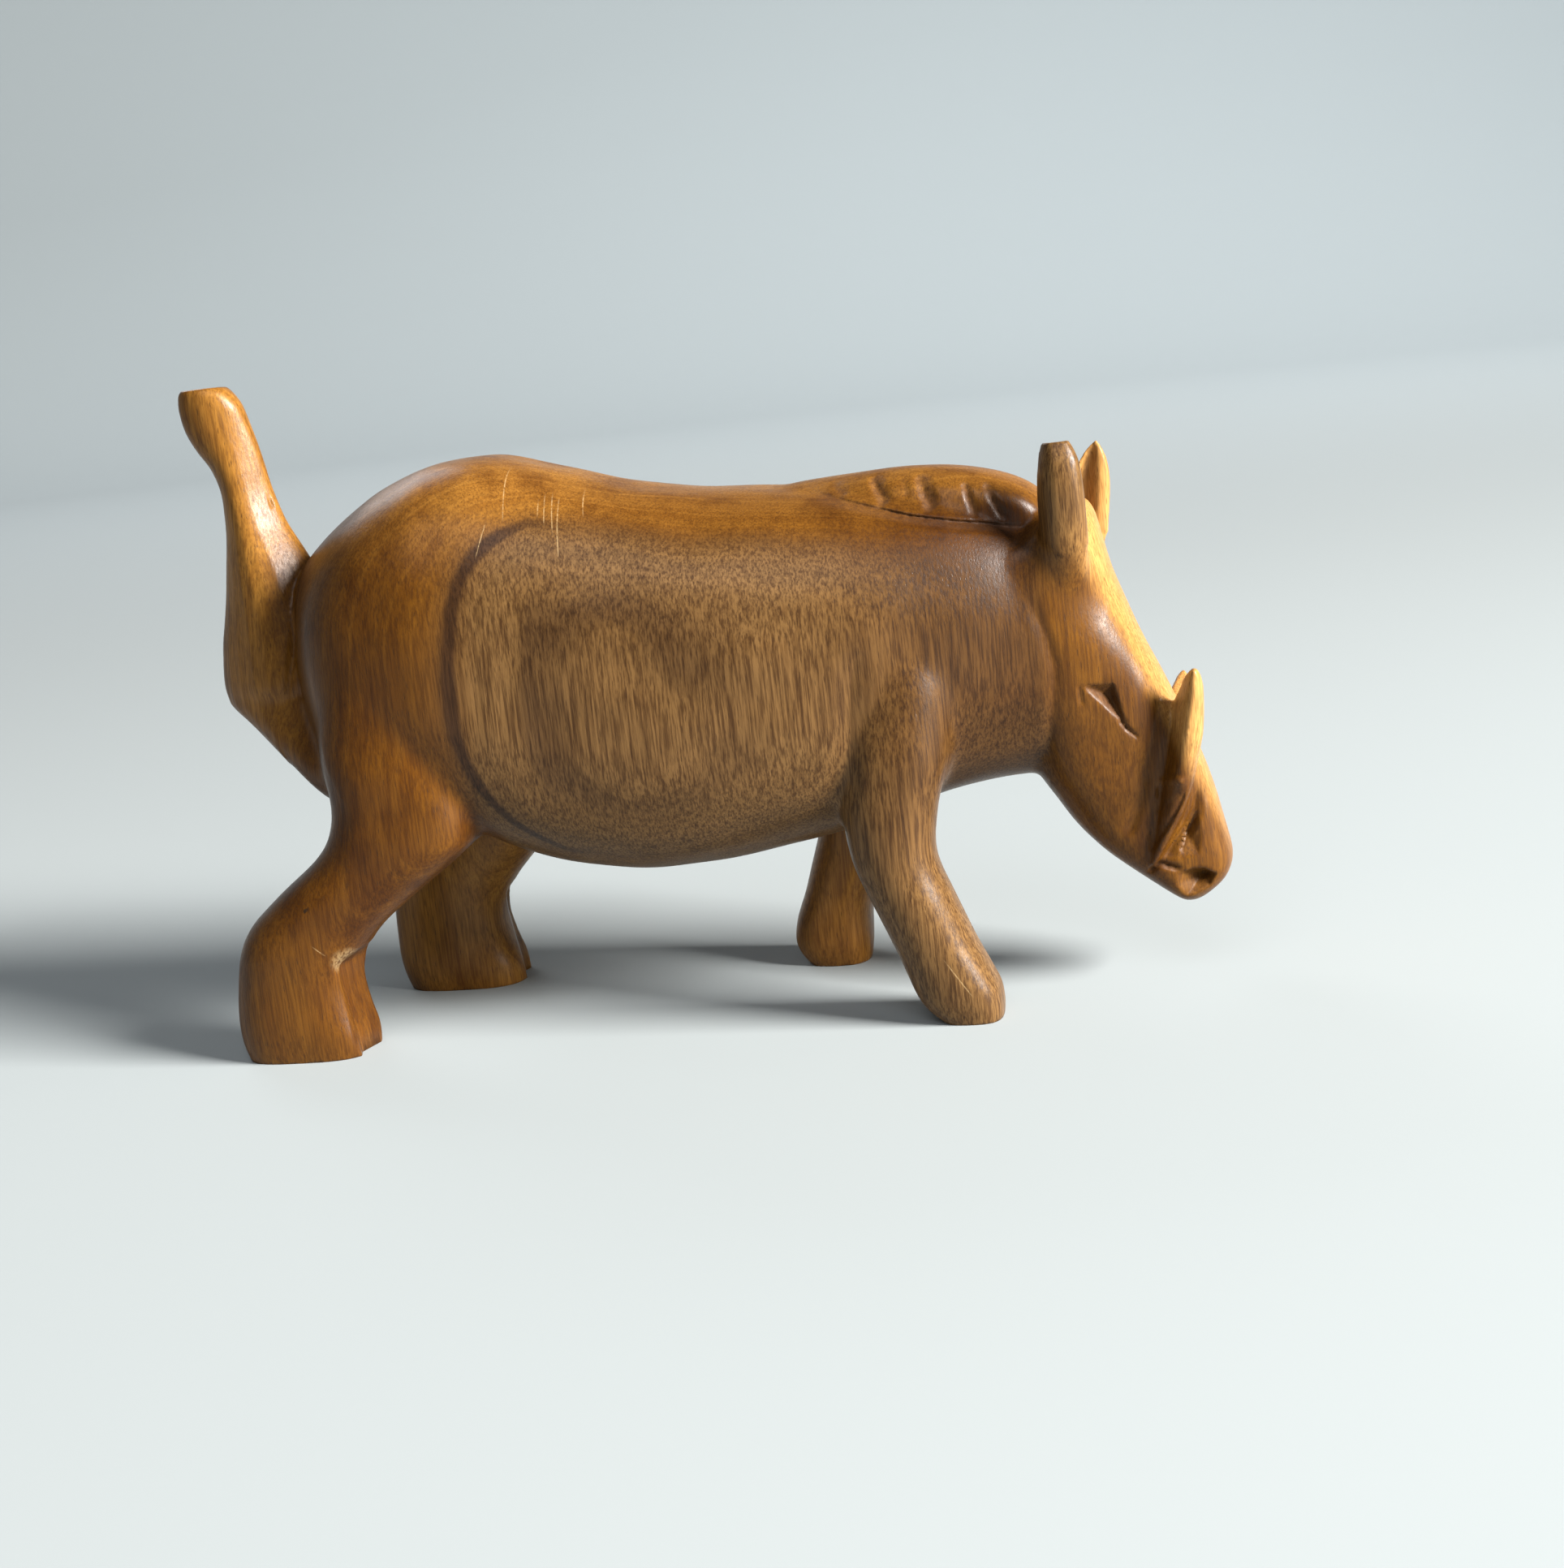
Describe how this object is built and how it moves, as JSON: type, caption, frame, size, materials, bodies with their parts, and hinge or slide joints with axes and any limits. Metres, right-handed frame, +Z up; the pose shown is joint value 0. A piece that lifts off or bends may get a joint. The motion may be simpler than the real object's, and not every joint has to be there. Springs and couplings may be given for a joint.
{
  "type": "warthog figurine",
  "caption": "Carved wooden warthog in a walking pose with a raised tail, cut mane, upright ears and tusks; stands on its own feet.",
  "frame": {"origin": "on the ground under the middle of the figure's box", "axes": "+X towards the snout, +Y towards the figure's left side, +Z up"},
  "size_m": [0.1398, 0.0446, 0.0917],
  "materials": {
    "carved_wood": "carved and sanded hardwood with a satin oil finish"
  },
  "bodies": {
    "root": {"warthog": "carved_wood"}
  },
  "joints": []
}
